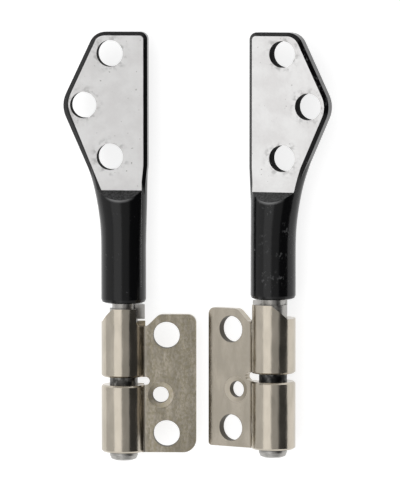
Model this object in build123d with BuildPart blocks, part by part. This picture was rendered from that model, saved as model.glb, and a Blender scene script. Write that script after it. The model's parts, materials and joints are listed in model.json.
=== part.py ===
from build123d import *

import os
from collections import namedtuple
from math import asin, atan2, cos, degrees, hypot, radians, sin, sqrt, tan

# A left and a right laptop hinge, lying side by side on a surface at Z = 0.
#
# Each hinge has three pieces. The lid arm is a casting with a round neck and a flat paddle that is
# screwed to the lid. The pin is pressed into the neck and turns with the arm. The friction clip is one
# folded sheet of spring steel: a leaf that is screwed to the base, rolled round the pin in two bands.
#
# A hinge is first made on its own, as the left one: the pin axis is the Y axis, the end of the arm's
# neck is at Y = 0, the leaf points to +X and the milled face of the paddle to +Z. Depths along the pin
# are measured from the end of the neck, downwards. Angles round the pin start at the leaf and pass over
# the front. The right hinge is the mirror image. The finished pieces are then turned about the pin axis
# to lie as the pair lies.

# The pair: distance between the pin axes, and how far each piece is turned about its pin, in degrees
AXIS_SPACING = 18.5
LEFT_LEAF_DROP = 9.0
ARM_LIFT = 6.0

# Pin: shank in the clip, thinner tang in the arm's neck
PIN_DIAMETER = 3.4
TANG_DIAMETER = 2.8
TANG_LENGTH = 10.0
SHOULDER_DEPTH = 0.7
NOSE_LENGTH = 1.05
NOSE_ROUNDING = 0.6

# Stop lug, one piece with the pin: a sector under the end of the neck
LUG_RADIUS = 2.57
LUG_TOP = 0.25
LUG_BOTTOM = 2.0
LUG_START_ANGLE = 245.0
LUG_END_ANGLE = 360.0

# Friction clip: sheet, roll and leaf
SHEET = 1.0
RUNNING_CLEARANCE = 0.03
ROLL_END_ANGLE = 340.0
BEND_RADIUS = 0.25
LEAF_HEIGHT = 1.1
LEFT_LEAF_REACH = 8.88
RIGHT_LEAF_REACH = 8.45
LEAF_TOP = 1.33
CLIP_BOTTOM = 18.17
LEFT_LEAF_TOP_RADIUS = 1.0
LEFT_LEAF_BOTTOM_RADIUS = 1.6
RIGHT_LEAF_TOP_RADIUS = 0.8
RIGHT_LEAF_BOTTOM_RADIUS = 0.4

# Friction clip: the slot between the bands, their broken edges, the stop tab above the upper band and
# the notch beside it
SLOT_TOP = 8.98
SLOT_WIDTH = 1.0
SLOT_REACH = 2.72
EDGE_BREAK = 0.2
BAND_TOP = 2.3
TAB_TOP = 0.65
TAB_INNER_ANGLE = 52.0
TAB_OUTER_ANGLE = 111.0
TAB_FOOT_ANGLE = 165.0
NOTCH_BOTTOM = 2.8
NOTCH_FLOOR = 1.2
NOTCH_SHOULDER = 1.5
NOTCH_RADIUS = 0.55
SHOULDER_RADIUS = 1.2

# Friction clip: holes in the leaf
LEAF_HOLE_DIAMETER = 3.2
LEAF_HOLE_PITCH = 12.0
LEAF_HOLE_REACH = 5.28
LEAF_HOLE_DEPTH = 3.85
LOCATING_HOLE_DIAMETER = 1.95
LOCATING_HOLE_REACH = 4.55
LOCATING_HOLE_DEPTH = 11.15
COUNTERSINK_DIAMETER = 3.1
COUNTERSINK_ANGLE = 140.0

# Lid arm: neck, measured from the lower screw hole to the end of the neck
LEFT_NECK_REACH = 17.8
RIGHT_NECK_REACH = 17.0
NECK_END_ROUNDING = 0.45
FLARE_START = 10.85
FLARE_DRAFT = 0.12
FLARE_INSET = 0.2

# Lid arm: outline of the paddle, with sharp corners before rounding
LEFT_SIDE_REACH = 3.03
RIGHT_SIDE_REACH = 2.7
SIDE_END = 1.1
APEX_REACH = 7.54
TOP_CORNER_REACH = 3.35
TOP_MARGIN = 2.6
LOWER_EDGE_ANGLE = 23.7
APEX_RADIUS = 3.4
TOP_OUTER_RADIUS = 2.0
TOP_INNER_RADIUS = 0.9
ROOT_DEPTH = 6.6
ROOT_RADIUS = 1.2
ROOT_REACH = 2.45
SIDE_BLEND_RADIUS = 4.0

# Lid arm: section of the paddle and the steps down to it from the neck
FACE_HEIGHT = 1.45
PADDLE_THICKNESS = 2.2
FACE_EDGE_CHAMFER = 0.45
BACK_EDGE_CHAMFER = 0.3
FACE_END = 4.05
FACE_STEP_LENGTH = 1.2
BACK_END = 3.6
BACK_STEP_LENGTH = 2.4

# Lid arm: screw holes
SCREW_HOLE_DIAMETER = 3.2
SCREW_HOLE_PITCH = 12.5
SCREW_HOLE_REACH = 1.5
MIDDLE_HOLE_REACH = 4.73

# Sizes that follow from those above
pin_radius = PIN_DIAMETER / 2
bore_radius = pin_radius + RUNNING_CLEARANCE
roll_radius = bore_radius + SHEET
neck_radius = roll_radius
nose_depth = CLIP_BOTTOM + NOSE_LENGTH
paddle_back = FACE_HEIGHT - PADDLE_THICKNESS
leaf_underside = LEAF_HEIGHT - SHEET
arm_top = SCREW_HOLE_PITCH + TOP_MARGIN
clear = 2 * (neck_radius + APEX_REACH)

# The flare of the neck is an arc that touches the neck where it starts and the paddle's lower edge where
# it ends; the two lines that it touches would meet at the flare's corner
flare_corner = (APEX_REACH - neck_radius) / tan(radians(LOWER_EDGE_ANGLE)) - SCREW_HOLE_PITCH / 2
flare_radius = (FLARE_START - flare_corner) / tan(radians(LOWER_EDGE_ANGLE / 2))
flare_length = flare_radius * sin(radians(LOWER_EDGE_ANGLE))

# The bend between leaf and roll is an arc that touches both: its centre lies above the leaf
bend_centre_height = LEAF_HEIGHT + BEND_RADIUS
bend_centre_reach = sqrt((roll_radius + BEND_RADIUS) ** 2 - bend_centre_height**2)
bend_angle = degrees(atan2(bend_centre_height, bend_centre_reach))

# The right hinge is rolled over until the far edge of its leaf touches the surface
right_leaf_drop = degrees(
    asin(roll_radius / hypot(RIGHT_LEAF_REACH, leaf_underside)) + atan2(leaf_underside, RIGHT_LEAF_REACH)
)

# Lower screw holes of both arms are level, and the pair is centred on its length
lower_hole_y = (max(LEFT_NECK_REACH, RIGHT_NECK_REACH) + nose_depth - arm_top) / 2

Hand = namedtuple(
    "Hand", "name side neck_reach side_reach leaf_drop leaf_reach leaf_top_radius leaf_bottom_radius"
)
HANDS = (
    Hand(
        "left",
        1,
        LEFT_NECK_REACH,
        LEFT_SIDE_REACH,
        LEFT_LEAF_DROP,
        LEFT_LEAF_REACH,
        LEFT_LEAF_TOP_RADIUS,
        LEFT_LEAF_BOTTOM_RADIUS,
    ),
    Hand(
        "right",
        -1,
        RIGHT_NECK_REACH,
        RIGHT_SIDE_REACH,
        right_leaf_drop,
        RIGHT_LEAF_REACH,
        RIGHT_LEAF_TOP_RADIUS,
        RIGHT_LEAF_BOTTOM_RADIUS,
    ),
)


def across(depth):
    """Plane across the pin at a depth below the end of the neck; extruding goes further down."""
    return Plane.XZ.offset(depth)


def round_end(radius, depth, size):
    """Corner of a turned end in two flats, which touch the round of that size at its ends and middle."""
    middle = size * (1 - sqrt(0.5))
    return (radius, size - depth), (radius - middle, middle - depth), (radius - size, -depth)


def build_lid_arm(neck_reach, side_reach):
    """Casting: round neck that flares into a flat paddle, with a blind socket for the pin's tang."""
    flare_y = neck_reach - FLARE_START
    apex_y = neck_reach + SCREW_HOLE_PITCH / 2
    top_y = neck_reach + arm_top
    root_y = neck_reach - ROOT_DEPTH
    root_outer_reach = APEX_REACH - (apex_y - root_y) * tan(radians(LOWER_EDGE_ANGLE))
    with BuildPart() as arm:
        # Paddle, with its root hidden in the flare of the neck
        with BuildSketch(Plane.XY.offset(paddle_back)):
            with BuildLine():
                FilletPolyline(
                    (-root_outer_reach, root_y),
                    (-APEX_REACH, apex_y),
                    (-TOP_CORNER_REACH, top_y),
                    (side_reach, top_y),
                    (side_reach, neck_reach - SIDE_END),
                    (ROOT_REACH, root_y),
                    radius=(
                        ROOT_RADIUS,
                        APEX_RADIUS,
                        TOP_OUTER_RADIUS,
                        TOP_INNER_RADIUS,
                        SIDE_BLEND_RADIUS,
                        ROOT_RADIUS,
                    ),
                    close=True,
                )
            make_face()
        extrude(amount=PADDLE_THICKNESS)
        chamfer(arm.faces().sort_by(Axis.Z)[-1].edges(), length=FACE_EDGE_CHAMFER)
        chamfer(arm.faces().sort_by(Axis.Z)[0].edges(), length=BACK_EDGE_CHAMFER)

        # Round neck with a broken edge at its end
        with BuildSketch(Plane.XY):
            with BuildLine():
                Polyline(
                    (0, flare_y),
                    (neck_radius, flare_y),
                    *round_end(neck_radius, 0, NECK_END_ROUNDING),
                    (0, 0),
                    close=True,
                )
            make_face()
        revolve(axis=Axis.Y)

        # Flare: the round section widens to the outer side along the arc and to the inner side along a
        # straight line, and ends inside the paddle
        with BuildSketch(across(-flare_y)):
            Circle(neck_radius)
        for share, inset in ((0.08, 0), (0.25, 0), (0.5, 0), (0.75, 0), (0.9, 0), (1, FLARE_INSET)):
            rise = share * flare_length
            outer = neck_radius + flare_radius - sqrt(flare_radius**2 - rise**2) - inset
            inner = neck_radius + share * (side_reach - neck_radius) - inset
            with BuildSketch(across(-flare_y - rise)):
                with Locations(((inner - outer) / 2, 0)):
                    Ellipse((inner + outer) / 2, neck_radius - share * FLARE_DRAFT)
        loft()

        # Steps from the neck down to the milled face and to the back of the paddle
        for level, end, step, outside in (
            (FACE_HEIGHT, FACE_END, FACE_STEP_LENGTH, neck_radius),
            (paddle_back, BACK_END, BACK_STEP_LENGTH, -neck_radius),
        ):
            with BuildSketch(Plane.YZ):
                with BuildLine():
                    Polyline(
                        (neck_reach - end, level),
                        (top_y + clear, level),
                        (top_y + clear, 2 * outside - level),
                        (neck_reach - end - 2 * step, 2 * outside - level),
                        close=True,
                    )
                make_face()
            extrude(amount=clear, both=True, mode=Mode.SUBTRACT)

        # Screw holes
        with Locations(
            (-SCREW_HOLE_REACH, neck_reach, FACE_HEIGHT),
            (-MIDDLE_HOLE_REACH, apex_y, FACE_HEIGHT),
            (-SCREW_HOLE_REACH, neck_reach + SCREW_HOLE_PITCH, FACE_HEIGHT),
        ):
            Hole(SCREW_HOLE_DIAMETER / 2, PADDLE_THICKNESS)

        # Socket for the tang
        with BuildSketch(across(0)):
            Circle(TANG_DIAMETER / 2)
        extrude(amount=-TANG_LENGTH, mode=Mode.SUBTRACT)
    return arm.part


def build_hinge_pin():
    """Turned pin with a tang, a shank with a round nose, and the stop lug beside it."""
    with BuildPart() as pin:
        with BuildSketch(Plane.XY):
            with BuildLine():
                Polyline(
                    (0, TANG_LENGTH),
                    (TANG_DIAMETER / 2, TANG_LENGTH),
                    (TANG_DIAMETER / 2, -SHOULDER_DEPTH),
                    (pin_radius, -SHOULDER_DEPTH),
                    *round_end(pin_radius, nose_depth, NOSE_ROUNDING),
                    (0, -nose_depth),
                    close=True,
                )
            make_face()
        revolve(axis=Axis.Y)
        with BuildSketch(across(LUG_TOP)):
            with BuildLine():
                rim = CenterArc((0, 0), LUG_RADIUS, LUG_START_ANGLE, LUG_END_ANGLE - LUG_START_ANGLE)
                Line((0, 0), rim @ 0)
                Line(rim @ 1, (0, 0))
            make_face()
        extrude(amount=LUG_BOTTOM - LUG_TOP)
    return pin.part


def build_friction_clip(leaf_reach, leaf_top_radius, leaf_bottom_radius):
    """Folded sheet: a leaf that bends up into a roll round the pin, slit into two bands."""
    with BuildPart() as clip:
        # Section of the sheet, drawn across the pin
        bend_centre = (bend_centre_reach, bend_centre_height)
        roll_sweep = ROLL_END_ANGLE - bend_angle
        bend_start = 180 + bend_angle
        bend_sweep = 90 - bend_angle
        with BuildSketch(across(TAB_TOP)):
            with BuildLine():
                outside = CenterArc((0, 0), roll_radius, bend_angle, roll_sweep)
                inside = CenterArc((0, 0), bore_radius, bend_angle, roll_sweep)
                Line(outside @ 1, inside @ 1)
                CenterArc(bend_centre, BEND_RADIUS, bend_start, bend_sweep)
                CenterArc(bend_centre, BEND_RADIUS + SHEET, bend_start, bend_sweep)
                Polyline(
                    (bend_centre_reach, LEAF_HEIGHT),
                    (leaf_reach, LEAF_HEIGHT),
                    (leaf_reach, leaf_underside),
                    (bend_centre_reach, leaf_underside),
                )
            make_face()
        extrude(amount=CLIP_BOTTOM - TAB_TOP)

        # Level top edge of the upper band, everywhere but at the stop tab
        with BuildSketch(across(0)):
            with BuildLine():
                band_sweep = 360 + TAB_INNER_ANGLE - TAB_FOOT_ANGLE
                rim = CenterArc((0, 0), roll_radius + SHEET / 4, TAB_FOOT_ANGLE, band_sweep)
                Line((0, 0), rim @ 0)
                Line(rim @ 1, (0, 0))
            make_face()
        extrude(amount=BAND_TOP, mode=Mode.SUBTRACT)

        # Slanted outer edge of the stop tab, cut straight towards the pin
        slant_angle = (TAB_OUTER_ANGLE + TAB_FOOT_ANGLE) / 2
        slant_half = (bore_radius + SHEET / 2) * sin(radians(TAB_FOOT_ANGLE - slant_angle))
        outwards = (cos(radians(slant_angle)), 0, sin(radians(slant_angle)))
        with BuildSketch(Plane((0, 0, 0), x_dir=(-outwards[2], 0, outwards[0]), z_dir=outwards)):
            with BuildLine():
                Polyline(
                    (-slant_half, TAB_TOP),
                    (slant_half, BAND_TOP),
                    (clear, BAND_TOP),
                    (clear, 0),
                    (-slant_half, 0),
                    close=True,
                )
            make_face()
        extrude(amount=clear, mode=Mode.SUBTRACT)

        # Leaf below its top edge, with the notch between it and the stop tab
        notch_left = roll_radius * cos(radians(TAB_INNER_ANGLE))
        notch_right = notch_left + NOTCH_FLOOR
        notch_corners = (
            (notch_left, -NOTCH_BOTTOM),
            (notch_right, -NOTCH_BOTTOM),
            (notch_right + NOTCH_SHOULDER, -LEAF_TOP),
        )
        with BuildSketch(Plane.XY.offset(leaf_underside - BEND_RADIUS / 4)) as notch:
            with BuildLine():
                Polyline((clear, 0), (notch_left, 0), *notch_corners, (clear, -LEAF_TOP), close=True)
            make_face()
            for corner, radius in zip(notch_corners, (NOTCH_RADIUS, NOTCH_RADIUS, SHOULDER_RADIUS)):
                fillet(notch.vertices().sort_by_distance(corner)[0], radius=radius)
        extrude(amount=clear, mode=Mode.SUBTRACT)

        # Slot between the bands, with a round end in the bend
        with BuildSketch(Plane.XY):
            with Locations((SLOT_REACH, -SLOT_TOP - SLOT_WIDTH / 2)):
                Rectangle(clear, SLOT_WIDTH, align=(Align.MAX, Align.CENTER))
                Circle(SLOT_WIDTH / 2)
        extrude(amount=clear, both=True, mode=Mode.SUBTRACT)

        # Broken outer edges of both bands, from the bend to the gap at the end of the roll
        gap_middle = (ROLL_END_ANGLE + 360) / 2
        with BuildSketch(Plane.XY.rotated((0, -bend_angle, 0))):
            for edge, inwards in ((SLOT_TOP, 1), (SLOT_TOP + SLOT_WIDTH, -1), (CLIP_BOTTOM, 1)):
                with BuildLine():
                    Polyline(
                        (roll_radius - EDGE_BREAK, -edge),
                        (roll_radius + EDGE_BREAK, 2 * inwards * EDGE_BREAK - edge),
                        (roll_radius + EDGE_BREAK, -inwards * EDGE_BREAK - edge),
                        close=True,
                    )
                make_face()
        revolve(axis=Axis.Y, revolution_arc=bend_angle - gap_middle, mode=Mode.SUBTRACT)

        # Corners and holes of the leaf
        far_corners = clip.edges().filter_by(Axis.Z).group_by(Axis.X)[-1].sort_by(Axis.Y)
        fillet(far_corners[-1], radius=leaf_top_radius)
        far_corners = clip.edges().filter_by(Axis.Z).group_by(Axis.X)[-1].sort_by(Axis.Y)
        fillet(far_corners[0], radius=leaf_bottom_radius)
        with Locations(
            (LEAF_HOLE_REACH, -LEAF_HOLE_DEPTH, LEAF_HEIGHT),
            (LEAF_HOLE_REACH, -LEAF_HOLE_DEPTH - LEAF_HOLE_PITCH, LEAF_HEIGHT),
        ):
            Hole(LEAF_HOLE_DIAMETER / 2, 2 * SHEET)
        with Locations((LOCATING_HOLE_REACH, -LOCATING_HOLE_DEPTH, LEAF_HEIGHT)):
            CounterSinkHole(
                LOCATING_HOLE_DIAMETER / 2, COUNTERSINK_DIAMETER / 2, 2 * SHEET, COUNTERSINK_ANGLE
            )
    return clip.part


def laid(part, hand, turn):
    """Mirrors a piece for the right hinge, turns it about its pin and lays it in the pair's frame."""
    if hand.side < 0:
        part = mirror(part, about=Plane.YZ)
    turned = part.rotate(Axis.Y, hand.side * turn)
    return Pos(-hand.side * AXIS_SPACING / 2, lower_hole_y - hand.neck_reach, roll_radius) * turned


os.makedirs("parts", exist_ok=True)
for hand in HANDS:
    pieces = {
        "lid_arm": laid(build_lid_arm(hand.neck_reach, hand.side_reach), hand, ARM_LIFT),
        "hinge_pin": laid(build_hinge_pin(), hand, ARM_LIFT),
        "friction_clip": laid(
            build_friction_clip(hand.leaf_reach, hand.leaf_top_radius, hand.leaf_bottom_radius),
            hand,
            hand.leaf_drop,
        ),
    }
    for name, piece in pieces.items():
        piece.label = f"{hand.name}_{name}"
        export_step(piece, f"parts/{piece.label}.step")
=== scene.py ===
import json
from functools import cached_property
from math import cos, pi, radians, sin, tan

import bpy
from mathutils import Matrix, Vector

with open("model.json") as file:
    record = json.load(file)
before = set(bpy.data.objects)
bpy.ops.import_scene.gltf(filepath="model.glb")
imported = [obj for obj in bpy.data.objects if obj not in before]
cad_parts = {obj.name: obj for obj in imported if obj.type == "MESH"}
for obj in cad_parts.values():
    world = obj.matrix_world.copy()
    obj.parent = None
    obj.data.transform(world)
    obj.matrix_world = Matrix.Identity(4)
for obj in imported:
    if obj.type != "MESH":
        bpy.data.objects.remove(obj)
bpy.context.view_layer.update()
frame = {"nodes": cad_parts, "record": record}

# The pair of hinges lies on a white table and is seen from above, a little from the right and
# from the arms' end. All lengths are in metres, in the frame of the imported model.
MM = 0.001
MOUNTS = {mount["name"]: mount for mount in frame["record"]["mounts"]}
HINGES = {hinge["name"]: hinge for hinge in frame["record"]["behaviour"]["joints"]}
ALONG_PIN = Vector((0, 1, 0))
WHITE = (1, 1, 1, 1)

# Which way along X leads from the outer to the inner side of each hinge's paddle
INWARD = {"left": 1, "right": -1}

# Camera: a long lens, with its lean from straight above and the point that it looks at
IMAGE_HEIGHT = 500
PIXELS_PER_MM = 8.264
CAMERA_DISTANCE = 0.5
LEAN_RIGHT = radians(12.0)
LEAN_UP = radians(4.5)
AIM = Vector((0.226, -0.3, 2.7)) * MM

# Soft boxes level over the table, as strips across X: the angles from straight above at which
# each starts and ends, and how bright it is
PANEL_HEIGHT = 0.6
PANEL_LENGTH = 1.6
PANELS = {
    "key_panel": (radians(-40.0), radians(1.5), 1.3),
    "top_panel": (radians(1.5), radians(40.0), 0.42),
}

# Soft boxes that stand beside the table: which way each faces, how long and how bright it is
WALL_DISTANCE = 1.0
WALL_HEIGHT = 1.15
WALLS = {
    "left_wall": (Vector((1, 0, 0)), 2.0, 0.76),
    "back_wall": (Vector((0, -1, 0)), 2.0, 0.6),
    "front_wall": (Vector((0, 1, 0)), 5.0, 0.5),
}
ROOM_LIGHT = 0.05

# Table
TABLE_SIZE = 3.0
TABLE_TONE = 0.45
TABLE_GLOW = 0.8
TABLE_ROUGHNESS = 0.9

# Noise: the size of its features, its detail, and its grain, which is below 1 along an axis where
# the features are longer
EVEN = (1.0, 1.0, 1.0)
ARM_CLOUD = (2.6 * MM, 3.0, EVEN)
ARM_GRAIN = (0.25 * MM, 5.0, EVEN)
ARM_STROKES = (0.3 * MM, 3.0, (1.0, 0.6, 1.0))
ARM_SMEARS = (0.7 * MM, 3.0, EVEN)
ARM_SPECKS = (0.35 * MM, 1.0, EVEN)
CLIP_STREAKS = (1.5 * MM, 3.0, (1.0, 0.35, 1.0))
CLIP_GRAIN = (0.3 * MM, 5.0, EVEN)
CLIP_BLOTCHES = (0.3 * MM, 6.0, (1.0, 0.75, 1.0))
PIN_RINGS = (0.12 * MM, 3.0, (0.02, 1.0, 0.02))
PIN_SMEARS = (0.8 * MM, 3.0, EVEN)

# Where on the noise a mark starts and where it is full
MIDDLE = (0.3, 0.7)
NARROW_MIDDLE = (0.35, 0.65)
SCUFFED = {"left": (0.62, 0.72), "right": (0.545, 0.66)}
SCUFF_PATCHES = (0.5, 0.62)
SPECKLED = (0.74, 0.8)
SMEARED = (0.45, 0.7)
BLOTCHED = (0.2, 0.8)
SHADED_GREASE_SPREAD = (0.4, 0.7)

# Depth of the bump of each material, and the share of the fine grain in that of the clips
ARM_BUMP = 0.001 * MM
CLIP_BUMP = 0.03 * MM
CLIP_BUMP_GRAIN = 0.15
PIN_BUMP = 0.006 * MM

# How far from its face plane an arm still counts as bare metal, and how far from a hole its wall
# reaches
FACE_TOUCH = 0.003 * MM
WALL_TOUCH = 0.02 * MM

# Outer edges of the paddles, which meet at the apex: how far it lies outside the middle hole, the
# angle of the upper and the lower edge from the pin, how far inside them the paint ends, over
# which stretch it rounds the apex, and how soft its end is
APEX_OFFSET = 2.81 * MM
EDGE_ANGLES = (radians(-25.3), radians(22.3))
PAINT_MARGINS = {"left": (0.55 * MM, 0.72 * MM), "right": (0.3 * MM, 0.3 * MM)}
APEX_STRETCH = 1.5 * MM
FACE_BLUR = 0.03 * MM

# Paint of the arms, and its scuffs
PAINT = (0.0025, 0.0026, 0.003)
PAINT_ROUGHNESS = (0.15, 0.21)
PAINT_SPECULAR = 0.32
SCUFF_PAINT = {"left": (0.04, 0.04, 0.042), "right": (0.06, 0.06, 0.062)}
SCUFF_ROUGHNESS = 0.5
PAINTED_HOLE_ROUGHNESS = 1.0

# The ramp from the milled face up to the neck: where it starts below the lower screw hole, its run
# and its rise, how far from its plane it counts, and the darkest and palest grain of its paint,
# which is speckled and lighter than the black elsewhere as a painted sheen
RAMP_START = 4.05 * MM
RAMP_RUN = 1.2 * MM
RAMP_RISE = 1.28 * MM
RAMP_TOUCH = 0.01 * MM
RAMP_SPECKLE_AND_SHEEN = ((0.012, 0.012, 0.012), (0.05, 0.05, 0.051))

# Painted highlight along the ramp's upper end, where it rounds over into the neck: how wide, from
# which height over the face, its colour
RIM_HIGHLIGHT_WIDTH = 0.3 * MM
RIM_HIGHLIGHT_FROM = 0.6 * MM
RIM_HIGHLIGHT_PAINT = (0.2, 0.2, 0.202)

# Milled face: darkest and palest metal, specks, and smudges that fade out beside the holes
MILLED = ((0.68, 0.67, 0.665), (0.74, 0.735, 0.73))
MILLED_ROUGHNESS = (0.42, 0.52)
SPECK = (0.4, 0.39, 0.38)
SMUDGE = (0.36, 0.355, 0.35)
SMUDGE_REACH = (0.1 * MM, 1.1 * MM)
SMUDGE_SHARE = 0.7

# Nickel of the clips: darkest and palest, and the walls of its holes, darker as bare cut edges and
# as painted shade
NICKEL = ((0.44, 0.40, 0.335), (0.53, 0.48, 0.405))
NICKEL_ROUGHNESS = (0.15, 0.23)
CLIP_HOLE_EDGE_AND_SHADE = (0.09, 0.08, 0.065)
CLIP_HOLE_ROUGHNESS = 0.5

# Tarnish on a leaf: where the leaf starts beside the roll, over which stretch the tarnish sets in,
# how strong it is, and its colour
LEAF_FROM = 2.75 * MM
LEAF_BLUR = 0.5 * MM
TARNISH = {"left": 1.0, "right": 0.15}
TARNISHED_NICKEL = (0.37, 0.325, 0.225)

# The countersink of a locating hole, which is duller than the leaf
SINK_RADIUS = 1.55 * MM
SINK_DEPTH = 0.21 * MM
SINK_ROUGHNESS = 0.5

# Steel of the pins, darkest and palest
STEEL = ((0.32, 0.31, 0.295), (0.46, 0.45, 0.43))
STEEL_ROUGHNESS = (0.3, 0.42)

# The stretch of a pin that its clip holds, below the end of the arm's neck, and the darkest and
# palest grease on it, darkened further as painted shade inside the clip
HELD_FROM = 2.2 * MM
HELD_TO = 18.2 * MM
HELD_BLUR = 0.3 * MM
GREASE_WITH_SHADE = {
    "left": ((0.06, 0.058, 0.054), (0.32, 0.315, 0.3)),
    "right": ((0.02, 0.02, 0.02), (0.14, 0.138, 0.132)),
}


class Tree:
    """A material with one Principled shader, and short ways to add the nodes that feed it."""

    def __init__(self, name):
        self.material = bpy.data.materials.new(name)
        self.material.use_nodes = True
        self.nodes = self.material.node_tree.nodes
        self.links = self.material.node_tree.links
        self.shader = self.nodes["Principled BSDF"]

    @cached_property
    def place(self):
        """The place on the object, which is the place in the frame at rest."""
        return self.nodes.new("ShaderNodeTexCoord").outputs["Object"]

    def put(self, socket, value):
        """Sets a socket to a constant, or links another node's output to it."""
        if isinstance(value, bpy.types.NodeSocket):
            self.links.new(value, socket)
        else:
            socket.default_value = value

    def math(self, operation, *values):
        node = self.nodes.new("ShaderNodeMath")
        node.operation = operation
        for socket, value in zip(node.inputs, values):
            self.put(socket, value)
        return node.outputs[0]

    def both(self, first, second):
        """How far two masks hold at once."""
        return self.math("MULTIPLY", first, second)

    def between(self, value, low, high, to_low=0.0, to_high=1.0):
        """Maps a range of values to another one, smoothly and with clamped ends."""
        node = self.nodes.new("ShaderNodeMapRange")
        node.interpolation_type = "SMOOTHSTEP"
        for socket, setting in zip(node.inputs, (value, low, high, to_low, to_high)):
            self.put(socket, setting)
        return node.outputs[0]

    def within(self, distance, reach):
        """1 up to a distance, and 0 from twice that distance on."""
        return self.between(distance, reach, 2 * reach, 1.0, 0.0)

    def mix(self, share, first, second):
        """Mixes two numbers."""
        node = self.nodes.new("ShaderNodeMix")
        self.put(node.inputs["Factor"], share)
        self.put(node.inputs["A"], first)
        self.put(node.inputs["B"], second)
        return node.outputs["Result"]

    def blend(self, share, first, second):
        """Mixes two colours."""
        node = self.nodes.new("ShaderNodeMix")
        node.data_type = "RGBA"
        self.put(node.inputs["Factor"], share)
        for name, colour in (("A", first), ("B", second)):
            linked = isinstance(colour, bpy.types.NodeSocket)
            self.put(node.inputs[name], colour if linked else (*colour, 1.0))
        return node.outputs["Result"]

    def vector(self, operation, first, second=(0, 0, 0)):
        node = self.nodes.new("ShaderNodeVectorMath")
        node.operation = operation
        self.put(node.inputs[0], first)
        self.put(node.inputs[1], second)
        return node.outputs["Value" if operation in ("DOT_PRODUCT", "LENGTH") else "Vector"]

    def height_over(self, point, normal):
        """How far a place lies over the plane through a point."""
        return self.vector("DOT_PRODUCT", self.vector("SUBTRACT", self.place, point), normal)

    def off_axis(self, point, axis):
        """How far a place lies from the axis through a point."""
        offset = self.vector("SUBTRACT", self.place, point)
        return self.vector("LENGTH", self.vector("CROSS_PRODUCT", offset, axis))

    def off_holes(self, *mounts):
        """How far a place lies outside the nearest hole; two holes of a pattern lie along Y."""
        nearest = None
        for mount in mounts:
            sizes = mount["dims"]
            radius = sizes.get("hole_r_mm", sizes.get("r_mm")) * MM
            half_pitch = sizes.get("pcd_mm", 0.0) / 2 * MM
            for shift in {half_pitch, -half_pitch}:
                centre = Vector(mount["pos_m"]) + shift * ALONG_PIN
                gap = self.math("SUBTRACT", self.off_axis(centre, mount["axis"]), radius)
                nearest = self.math("MINIMUM", nearest, gap) if nearest else gap
        return nearest

    def noise(self, size, detail, grain):
        """Soft noise with features of about a given size, longer where the grain is below 1."""
        stretch = self.nodes.new("ShaderNodeMapping")
        self.put(stretch.inputs["Vector"], self.place)
        stretch.inputs["Scale"].default_value = grain
        node = self.nodes.new("ShaderNodeTexNoise")
        self.put(node.inputs["Vector"], stretch.outputs["Vector"])
        node.inputs["Scale"].default_value = 1.0 / size
        node.inputs["Detail"].default_value = detail
        return node.outputs["Fac"]

    def bump(self, height, depth):
        node = self.nodes.new("ShaderNodeBump")
        node.inputs["Distance"].default_value = depth
        self.put(node.inputs["Height"], height)
        self.put(self.shader.inputs["Normal"], node.outputs["Normal"])

    def finish(self, colour, roughness, metallic):
        self.put(self.shader.inputs["Base Color"], colour)
        self.put(self.shader.inputs["Roughness"], roughness)
        self.put(self.shader.inputs["Metallic"], metallic)
        return self.material


def bare_face(tree, hand, height):
    """1 on the milled face, as far as the paint over its outer edges leaves it bare."""
    inwards = INWARD[hand] * ALONG_PIN.cross(Vector(MOUNTS[f"{hand}_lid_face"]["axis"]))
    apex = Vector(MOUNTS[f"{hand}_lid_middle_hole"]["pos_m"]) - APEX_OFFSET * inwards
    past_edges = []
    for angle, margin in zip(EDGE_ANGLES, PAINT_MARGINS[hand]):
        normal = cos(angle) * inwards + sin(angle) * ALONG_PIN
        past_edges.append(tree.height_over(apex + margin * normal, normal))
    past_paint = tree.math("SMOOTH_MIN", *past_edges, APEX_STRETCH)
    flush = tree.within(tree.math("ABSOLUTE", height), FACE_TOUCH)
    return tree.both(flush, tree.between(past_paint, 0.0, FACE_BLUR))


def paint_ramp(tree, hand, height, fine, paint):
    """Makes the paint speckled and lighter on the ramp as a painted sheen, and paints a highlight
    along the ramp's upper end.
    """
    face = MOUNTS[f"{hand}_lid_face"]
    holes = MOUNTS[f"{hand}_lid_screw_holes"]
    foot = Vector(face["pos_m"])
    foot.y = holes["pos_m"][1] - holes["dims"]["pcd_mm"] / 2 * MM - RAMP_START
    normal = (RAMP_RISE * ALONG_PIN + RAMP_RUN * Vector(face["axis"])).normalized()
    under = tree.math("MULTIPLY", tree.height_over(foot, normal), -1.0)
    on_ramp = tree.within(tree.math("ABSOLUTE", under), RAMP_TOUCH)
    # Painted highlight: a pale strip of paint along the ramp's upper end, where its rounded edge
    # would catch the light
    rim_highlight = tree.both(
        tree.between(under, RAMP_TOUCH, 2 * RAMP_TOUCH),
        tree.between(under, 2 * RAMP_TOUCH, RIM_HIGHLIGHT_WIDTH, 1.0, 0.0),
    )
    rim_highlight = tree.both(rim_highlight, tree.between(height, RIM_HIGHLIGHT_FROM, RAMP_RISE))
    # Speckled paint on the ramp, lifted above the black as a painted sheen
    speckle_and_sheen = tree.blend(tree.between(fine, *NARROW_MIDDLE), *RAMP_SPECKLE_AND_SHEEN)
    return tree.blend(rim_highlight, tree.blend(on_ramp, paint, speckle_and_sheen), RIM_HIGHLIGHT_PAINT)


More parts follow.
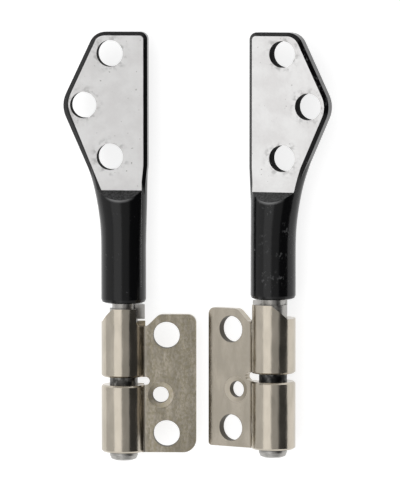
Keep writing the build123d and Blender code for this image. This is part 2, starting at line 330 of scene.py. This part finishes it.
def arm_material(hand):
    """Black paint with a few scuffs, and bare milled metal with smudges on the face."""
    tree = Tree(f"{hand}_arm_paint_and_milled_face")
    face = MOUNTS[f"{hand}_lid_face"]
    height = tree.height_over(face["pos_m"], face["axis"])
    bare = bare_face(tree, hand, height)
    off_hole = tree.off_holes(
        MOUNTS[f"{hand}_lid_screw_holes"], MOUNTS[f"{hand}_lid_middle_hole"]
    )
    cloud = tree.noise(*ARM_CLOUD)
    fine = tree.noise(*ARM_GRAIN)

    strokes = tree.between(tree.noise(*ARM_STROKES), *SCUFFED[hand])
    scuffed = tree.both(strokes, tree.between(cloud, *SCUFF_PATCHES))
    paint = tree.blend(scuffed, PAINT, SCUFF_PAINT[hand])
    paint = paint_ramp(tree, hand, height, fine, paint)
    paint_roughness = tree.between(fine, *MIDDLE, *PAINT_ROUGHNESS)
    paint_roughness = tree.mix(scuffed, paint_roughness, SCUFF_ROUGHNESS)
    in_hole = tree.within(off_hole, WALL_TOUCH)
    paint_roughness = tree.mix(in_hole, paint_roughness, PAINTED_HOLE_ROUGHNESS)

    milled = tree.blend(tree.between(cloud, *NARROW_MIDDLE), *MILLED)
    milled = tree.blend(tree.between(tree.noise(*ARM_SPECKS), *SPECKLED), milled, SPECK)
    smudged = tree.both(
        tree.between(off_hole, *SMUDGE_REACH, SMUDGE_SHARE, 0.0),
        tree.between(tree.noise(*ARM_SMEARS), *SMEARED),
    )
    milled = tree.blend(smudged, milled, SMUDGE)
    milled_roughness = tree.between(fine, *MIDDLE, *MILLED_ROUGHNESS)

    tree.put(tree.shader.inputs["Specular IOR Level"], PAINT_SPECULAR)
    tree.bump(fine, ARM_BUMP)
    return tree.finish(
        tree.blend(bare, paint, milled), tree.mix(bare, paint_roughness, milled_roughness), bare
    )


def clip_material(hand):
    """Nickel-plated spring steel, warm and glossy, with streaks in its polish and tarnish."""
    tree = Tree(f"{hand}_clip_nickel")
    hinge = HINGES[f"{hand}_hinge"]
    face = MOUNTS[f"{hand}_base_face"]
    locating = MOUNTS[f"{hand}_base_locating_hole"]
    streaks = tree.noise(*CLIP_STREAKS)
    colour = tree.blend(tree.between(streaks, *MIDDLE), *NICKEL)
    roughness = tree.between(streaks, *MIDDLE, *NICKEL_ROUGHNESS)

    off_locating = tree.off_axis(locating["pos_m"], locating["axis"])
    in_sink = tree.both(
        tree.between(off_locating, SINK_RADIUS, SINK_RADIUS + WALL_TOUCH, 1.0, 0.0),
        tree.between(tree.height_over(face["pos_m"], face["axis"]), -2 * SINK_DEPTH, -SINK_DEPTH),
    )
    roughness = tree.mix(in_sink, roughness, SINK_ROUGHNESS)

    off_hinge = tree.off_axis(hinge["pos_m"], hinge["axis"])
    on_leaf = tree.between(off_hinge, LEAF_FROM, LEAF_FROM + LEAF_BLUR)
    blotches = tree.between(tree.noise(*CLIP_BLOTCHES), *BLOTCHED, 0.0, TARNISH[hand])
    colour = tree.blend(tree.both(on_leaf, blotches), colour, TARNISHED_NICKEL)

    # Darker hole walls: the bare cut edge, and painted shade inside the holes
    in_hole = tree.within(
        tree.off_holes(MOUNTS[f"{hand}_base_screw_holes"], locating), WALL_TOUCH
    )
    colour = tree.blend(in_hole, colour, CLIP_HOLE_EDGE_AND_SHADE)
    roughness = tree.mix(in_hole, roughness, CLIP_HOLE_ROUGHNESS)

    grain = tree.math("MULTIPLY", tree.noise(*CLIP_GRAIN), CLIP_BUMP_GRAIN)
    tree.bump(tree.math("ADD", streaks, grain), CLIP_BUMP)
    return tree.finish(colour, roughness, 1.0)


def pin_material(hand):
    """Grey turned steel, dark where the clip holds it, with grease and painted shade."""
    tree = Tree(f"{hand}_pin_steel")
    depth = tree.height_over(HINGES[f"{hand}_hinge"]["pos_m"], -ALONG_PIN)
    held = tree.both(
        tree.between(depth, HELD_FROM, HELD_FROM + HELD_BLUR),
        tree.between(depth, HELD_TO, HELD_TO + HELD_BLUR, 1.0, 0.0),
    )
    rings = tree.noise(*PIN_RINGS)
    steel = tree.blend(rings, *STEEL)
    # Grease, and painted shade where the clip covers the pin
    shaded_grease = tree.blend(tree.between(tree.noise(*PIN_SMEARS), *SHADED_GREASE_SPREAD), *GREASE_WITH_SHADE[hand])
    tree.bump(rings, PIN_BUMP)
    roughness = tree.between(rings, *MIDDLE, *STEEL_ROUGHNESS)
    return tree.finish(tree.blend(held, steel, shaded_grease), roughness, 1.0)


def dress():
    """Gives every node of the pair its material."""
    makers = {
        "lid_arm": arm_material,
        "hinge_pin": pin_material,
        "friction_clip": clip_material,
    }
    for hand in INWARD:
        for piece, make in makers.items():
            frame["nodes"][f"{hand}_{piece}"].material_slots[0].material = make(hand)


def add_table():
    """White table that keeps the pair's shadow, bright enough behind the pair to show as white."""
    bpy.ops.mesh.primitive_plane_add(size=TABLE_SIZE)
    table = bpy.context.object
    table.name = "table"
    tree = Tree("white_table")
    rays = tree.nodes.new("ShaderNodeLightPath").outputs
    seen = tree.math("MAXIMUM", rays["Is Camera Ray"], rays["Is Glossy Ray"])
    seen = tree.math("MAXIMUM", seen, rays["Is Transmission Ray"])
    glow = tree.math("MULTIPLY", seen, TABLE_GLOW)
    tree.put(tree.shader.inputs["Specular IOR Level"], 0.0)
    tree.put(tree.shader.inputs["Emission Color"], WHITE)
    tree.put(tree.shader.inputs["Emission Strength"], glow)
    tone = (TABLE_TONE, TABLE_TONE, TABLE_TONE, 1)
    table.data.materials.append(tree.finish(tone, TABLE_ROUGHNESS, 0.0))


def add_soft_box(name, width, length, radiance, place, facing=None):
    """Rectangular light that shines straight down, or the way that it faces."""
    light = bpy.data.lights.new(name, "AREA")
    light.shape = "RECTANGLE"
    light.size = width
    light.size_y = length
    # Its power is spread over its area and the half space that it shines into
    light.energy = radiance * width * length * pi
    box = bpy.data.objects.new(name, light)
    box.location = place
    if facing:
        box.rotation_euler = facing.to_track_quat("-Z", "Y").to_euler()
    bpy.context.scene.collection.objects.link(box)


def add_light():
    for name, (start, end, radiance) in PANELS.items():
        left = PANEL_HEIGHT * tan(start)
        right = PANEL_HEIGHT * tan(end)
        place = ((left + right) / 2, 0, PANEL_HEIGHT)
        add_soft_box(name, right - left, PANEL_LENGTH, radiance, place)
    for name, (facing, length, radiance) in WALLS.items():
        place = Vector((0, 0, WALL_HEIGHT / 2)) - WALL_DISTANCE * facing
        add_soft_box(name, length, WALL_HEIGHT, radiance, place, facing)
    world = bpy.data.worlds.new("room")
    world.use_nodes = True
    background = world.node_tree.nodes["Background"]
    background.inputs["Color"].default_value = WHITE
    background.inputs["Strength"].default_value = ROOM_LIGHT
    bpy.context.scene.world = world


def add_camera():
    data = bpy.data.cameras.new("camera")
    # The sensor's width is the long side of the image
    data.lens = data.sensor_width * CAMERA_DISTANCE / (IMAGE_HEIGHT / PIXELS_PER_MM * MM)
    camera = bpy.data.objects.new("camera", data)
    toward = Vector((tan(LEAN_RIGHT), tan(LEAN_UP), 1.0)).normalized()
    across = ALONG_PIN.cross(toward).normalized()
    upward = toward.cross(across)
    camera.location = AIM + CAMERA_DISTANCE * toward
    camera.rotation_euler = Matrix((across, upward, toward)).transposed().to_euler()
    bpy.context.scene.collection.objects.link(camera)
    bpy.context.scene.camera = camera


dress()
add_table()
add_light()
add_camera()
bpy.context.scene.view_settings.view_transform = "Standard"
